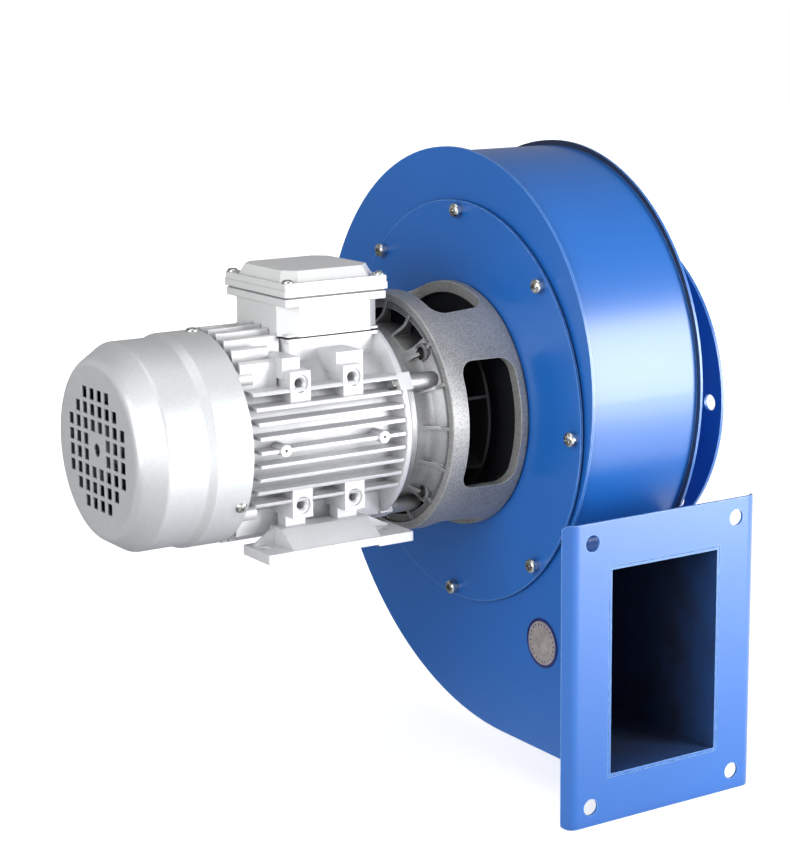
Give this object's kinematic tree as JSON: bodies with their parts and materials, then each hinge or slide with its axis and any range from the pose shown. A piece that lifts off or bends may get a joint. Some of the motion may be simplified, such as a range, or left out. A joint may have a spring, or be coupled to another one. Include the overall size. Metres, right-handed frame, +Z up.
{
  "type": "induced draft fan",
  "caption": "Boiler exhaust fan: scroll casing with bolted cover and flanges, backward-curved impeller, cast lantern with cooling wheel, and a finned foot-mounted motor.",
  "frame": {"origin": "centre of the inlet flange face, on the shaft axis", "axes": "+X along the shaft out of the inlet, away from the motor; -Y the way the air leaves the outlet; +Z up"},
  "size_m": [0.4665, 0.3921, 0.4836],
  "materials": {
    "casing_paint": "smooth blue powder coat, gloss",
    "lantern_cast": "rough casting, dark",
    "endshield_cast": "smooth casting",
    "frame_paint": "silver paint over a finned casting",
    "box_paint": "silver paint, satin",
    "cowl_paint": "fine silver metallic paint on pressed sheet",
    "zinc": "bright zinc plate",
    "machined_steel": "turned and ground",
    "core_steel": "stacked sheet",
    "black_plastic": "moulded",
    "rubber": "moulded sheet",
    "board": "moulded insulation",
    "copper": "varnished copper wire",
    "brass": "turned",
    "cage_aluminium": "cast"
  },
  "bodies": {
    "root": {"scroll_wrap": "casing_paint", "motor_side_plate": "casing_paint", "inlet_side_plate": "casing_paint", "outlet_flange": "casing_paint", "inlet_collar": "casing_paint", "inlet_flange": "casing_paint", "inlet_cone": "casing_paint", "cover_plate": "casing_paint", "motor_lantern": "lantern_cast", "drive_endshield": "endshield_cast", "rear_endshield": "endshield_cast", "motor_frame": "frame_paint", "near_foot": "frame_paint", "far_foot": "frame_paint", "box_base": "box_paint", "box_lid": "box_paint", "fan_cowl": "cowl_paint", "cover_screws": "zinc", "cover_nuts": "zinc", "lantern_screws": "zinc", "flange_bolts": "zinc", "tie_bolts": "zinc", "rear_bolts": "zinc", "cowl_screws": "zinc", "foot_bolts": "zinc", "box_bolts": "zinc", "lid_screws": "zinc", "seal_retainer": "zinc", "drive_bearing_outer": "machined_steel", "rear_bearing_outer": "machined_steel", "preload_washer": "machined_steel", "stator_core": "core_steel", "cable_gland": "black_plastic", "cover_gasket": "rubber", "box_gasket": "rubber", "lid_gasket": "rubber", "shaft_seal": "rubber", "terminal_board": "board", "stator_windings": "copper", "terminal_studs": "brass"},
    "rotor": {"motor_shaft": "machined_steel", "drive_bearing_inner": "machined_steel", "rear_bearing_inner": "machined_steel", "shaft_keys": "machined_steel", "rotor_core": "core_steel", "rotor_cage": "cage_aluminium", "cooling_wheel": "black_plastic", "motor_fan": "black_plastic", "fan_circlip": "machined_steel", "impeller_hub": "machined_steel", "impeller_back_plate": "casing_paint", "impeller_rivets": "zinc", "impeller_blades": "casing_paint", "impeller_shroud": "casing_paint", "impeller_washer": "zinc", "impeller_bolt": "zinc"},
    "drive_balls": {"drive_ball_set": "machined_steel"},
    "rear_balls": {"rear_ball_set": "machined_steel"}
  },
  "joints": [
    {"name": "rotor_spin", "type": "hinge", "parent": "root", "child": "rotor", "pos_m": [-0.15, 0, 0], "axis": [1, 0, 0], "continuous": true},
    {"name": "drive_balls_spin", "type": "hinge", "parent": "root", "child": "drive_balls", "pos_m": [-0.235, 0, 0], "axis": [1, 0, 0], "continuous": true},
    {"name": "rear_balls_spin", "type": "hinge", "parent": "root", "child": "rear_balls", "pos_m": [-0.381, 0, 0], "axis": [1, 0, 0], "continuous": true}
  ],
  "couplings": [
    {"joint": "drive_balls_spin", "follows": "rotor_spin", "ratio": 0.3815},
    {"joint": "rear_balls_spin", "follows": "rotor_spin", "ratio": 0.3815}
  ]
}
